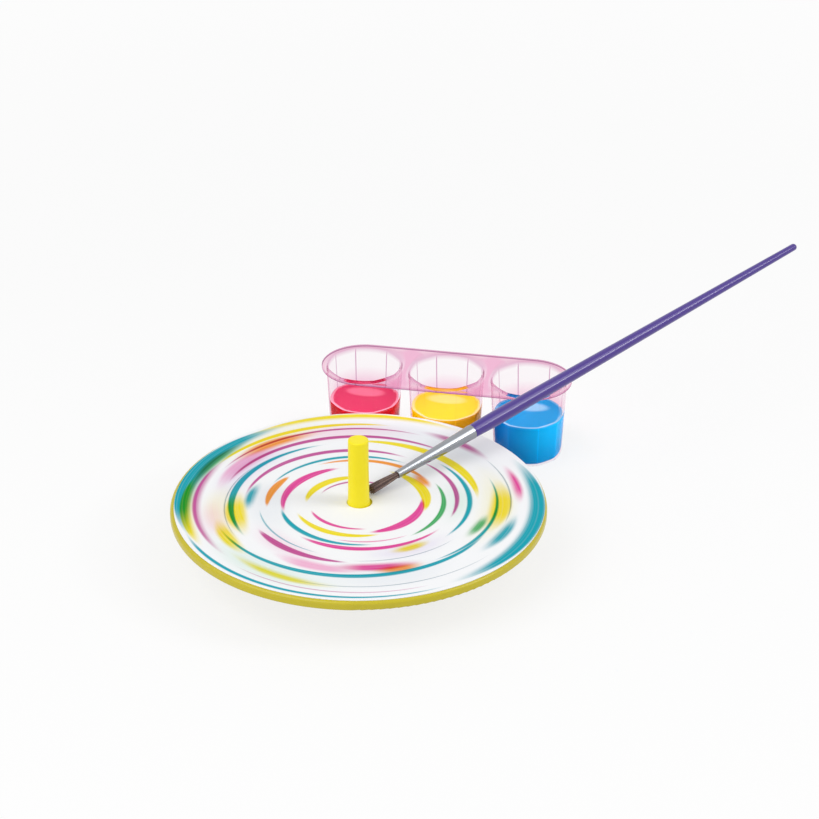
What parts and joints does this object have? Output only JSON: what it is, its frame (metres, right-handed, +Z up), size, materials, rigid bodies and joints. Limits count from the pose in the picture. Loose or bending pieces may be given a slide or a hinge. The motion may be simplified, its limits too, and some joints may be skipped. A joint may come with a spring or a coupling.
{
  "type": "spin art machine",
  "caption": "Finger-twirled turntable for spin painting, with a card over its post, a strip of clear cups of paint and a round brush.",
  "frame": {"origin": "on the spindle axis, at the underside of the rubber pad that stands on the table", "axes": "+Z up along the spindle and the post; the cups stand on the +Y side, behind the plate, and +X is to the right, the side that the brush handle points to"},
  "size_m": [0.2783, 0.2429, 0.0627],
  "materials": {
    "yellow_plastic": "moulded, semi-gloss",
    "black_rubber": "matt",
    "zinc_steel": "zinc plated",
    "bare_steel": "turned",
    "white_acetal": "moulded",
    "painted_card": "coated white card with paint streaks",
    "clear_pink_plastic": "clear, tinted pink",
    "red_paint": "wet",
    "yellow_paint": "wet",
    "blue_paint": "wet",
    "purple_lacquer": "lacquered",
    "polished_aluminium": "polished",
    "brown_hair": "hair",
    "amber_glue": "cured"
  },
  "bodies": {
    "base": {"non_slip_pad": "black_rubber", "base_cover": "yellow_plastic", "cover_screws": "zinc_steel", "base_weight": "bare_steel", "base_shell": "yellow_plastic", "bearing_bush": "white_acetal"},
    "turntable": {"thrust_washer": "bare_steel", "spindle": "bare_steel", "clip_washer": "bare_steel", "retaining_clip": "bare_steel", "turntable_plate": "yellow_plastic", "twirl_post": "yellow_plastic", "art_card": "painted_card"},
    "paint_tray": {"cup_strip": "clear_pink_plastic", "paint_red": "red_paint", "paint_yellow": "yellow_paint", "paint_blue": "blue_paint"},
    "brush": {"brush_handle": "purple_lacquer", "brush_ferrule": "polished_aluminium", "brush_bristles": "brown_hair", "bristle_glue": "amber_glue"}
  },
  "joints": [
    {"name": "plate_spin", "type": "hinge", "parent": "base", "child": "turntable", "pos_m": [0, 0, 0.0178], "axis": [0, 0, 1], "continuous": true},
    {"name": "tray_lift", "type": "slide", "parent": "base", "child": "paint_tray", "axis": [0, 0, 1], "range_m": [0, 0.06]},
    {"name": "brush_lift", "type": "slide", "parent": "paint_tray", "child": "brush", "axis": [0, 0, 1], "range_m": [0, 0.06]}
  ]
}
